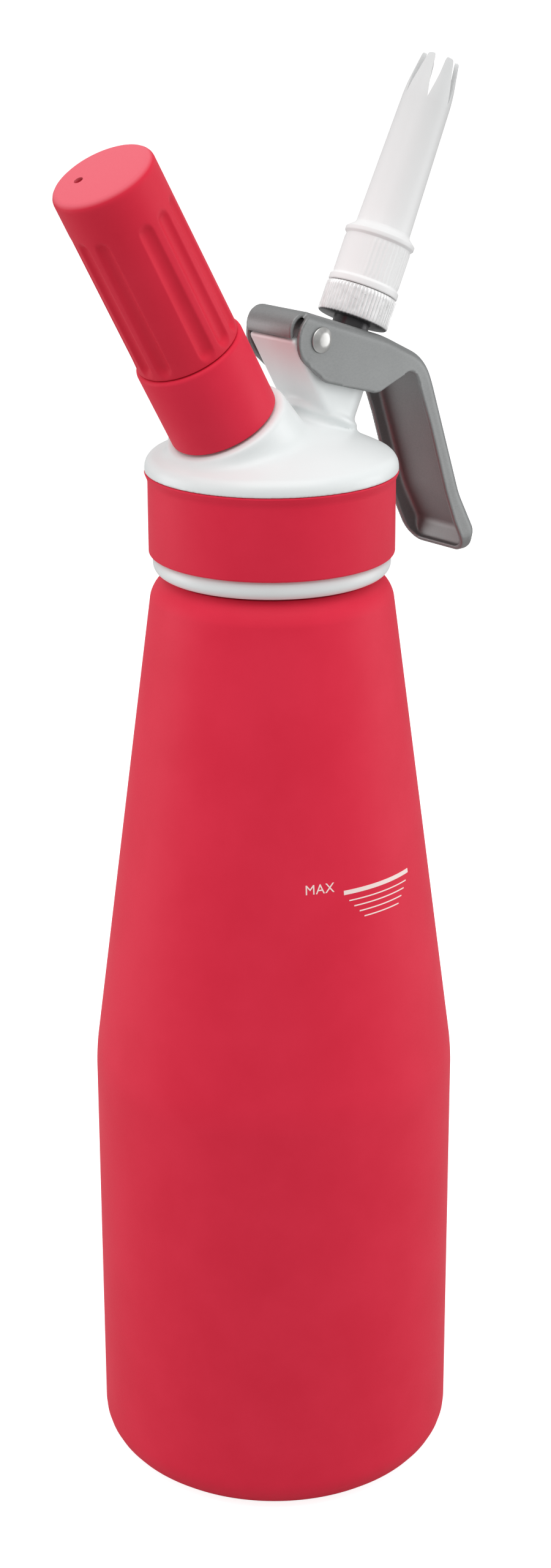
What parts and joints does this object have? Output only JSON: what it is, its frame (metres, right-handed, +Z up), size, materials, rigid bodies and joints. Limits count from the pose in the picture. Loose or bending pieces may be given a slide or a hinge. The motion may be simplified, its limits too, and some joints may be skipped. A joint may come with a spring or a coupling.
{
  "type": "whipped cream dispenser",
  "caption": "Tapered bottle in a soft coat with a screw-on head, a slanted gas charger holder, a lever worked stem valve and a slit decorator tip.",
  "frame": {"origin": "centre of the flat base, where it rests on the table", "axes": "+Z up the bottle's axis; the charger holder leans towards -X, the tip and the lever's handle towards +X; +Y completes the right-handed frame"},
  "size_m": [0.1233, 0.095, 0.372],
  "materials": {
    "vessel_steel": "satin steel",
    "coat_rubber": "soft matte red",
    "seal_rubber": "pale grey rubber",
    "head_white": "smooth white",
    "collar_rubber": "soft matte red",
    "plated_brass": "plated",
    "pin_steel": "turned steel",
    "black_rubber": "black rubber",
    "spring_steel": "drawn wire",
    "lever_steel": "blasted sheet steel",
    "stem_steel": "turned steel",
    "cap_white": "smooth white",
    "adapter_metal": "turned and knurled",
    "tip_white": "satin white",
    "charger_steel": "bright steel",
    "holder_metal": "turned",
    "grip_rubber": "soft matte red",
    "cuff_rubber": "soft matte red"
  },
  "bodies": {
    "vessel": {"bottle": "vessel_steel", "bottle_coat": "coat_rubber"},
    "gasket": {"head_gasket": "seal_rubber"},
    "head": {"head_body": "head_white", "collar_grip": "collar_rubber", "charger_boss": "plated_brass", "piercing_pin": "pin_steel", "charger_seal": "black_rubber", "non_return_valve": "black_rubber", "lever_pin": "pin_steel", "stem_o_ring": "black_rubber", "valve_spring": "spring_steel"},
    "lever": {"lever": "lever_steel"},
    "valve": {"valve_stem": "stem_steel", "valve_seal": "black_rubber", "spring_cap": "cap_white", "tip_adapter": "adapter_metal"},
    "washer": {"tip_washer": "seal_rubber"},
    "tip": {"decorator_tip": "tip_white"},
    "charger": {"gas_charger": "charger_steel"},
    "holder": {"charger_holder": "holder_metal", "holder_grip": "grip_rubber", "holder_cuff": "cuff_rubber"}
  },
  "joints": [
    {"name": "head_lift", "type": "slide", "parent": "vessel", "child": "gasket", "axis": [0, 0, 1], "range_m": [0, 0.012]},
    {"name": "head_turn", "type": "hinge", "parent": "gasket", "child": "head", "pos_m": [0, 0, 0.2745], "axis": [0, 0, 1], "range_deg": [0, 1080]},
    {"name": "lever_squeeze", "type": "hinge", "parent": "head", "child": "lever", "pos_m": [0.0076, 0, 0.307], "axis": [0, 1, 0], "range_deg": [0, 11], "stiffness_Nm_per_rad": 0.56, "springref_deg": -14.32, "deforming": ["valve_spring"]},
    {"name": "valve_push", "type": "slide", "parent": "head", "child": "valve", "axis": [-0.4321, 0, -0.9018], "range_m": [0, 0.0033]},
    {"name": "charger_lift", "type": "slide", "parent": "head", "child": "charger", "axis": [-0.5, 0, 0.866], "range_m": [0, 0.0121]},
    {"name": "holder_turn", "type": "hinge", "parent": "charger", "child": "holder", "pos_m": [-0.0152, 0, 0.28853], "axis": [-0.5, 0, 0.866], "range_deg": [0, 2160]},
    {"name": "tip_lift", "type": "slide", "parent": "valve", "child": "washer", "axis": [0.4321, 0, 0.9018], "range_m": [0, 0.0083]},
    {"name": "tip_turn", "type": "hinge", "parent": "washer", "child": "tip", "pos_m": [0.0108, 0, 0.2745], "axis": [0.4321, 0, 0.9018], "range_deg": [0, 1440]}
  ],
  "couplings": [
    {"joint": "head_lift", "follows": "head_turn", "m_per_rad": 0.00063662},
    {"joint": "valve_push", "follows": "lever_squeeze", "m_per_rad": 0.016929},
    {"joint": "charger_lift", "follows": "holder_turn", "m_per_rad": 0.00031831},
    {"joint": "tip_lift", "follows": "tip_turn", "m_per_rad": 0.00031831}
  ]
}
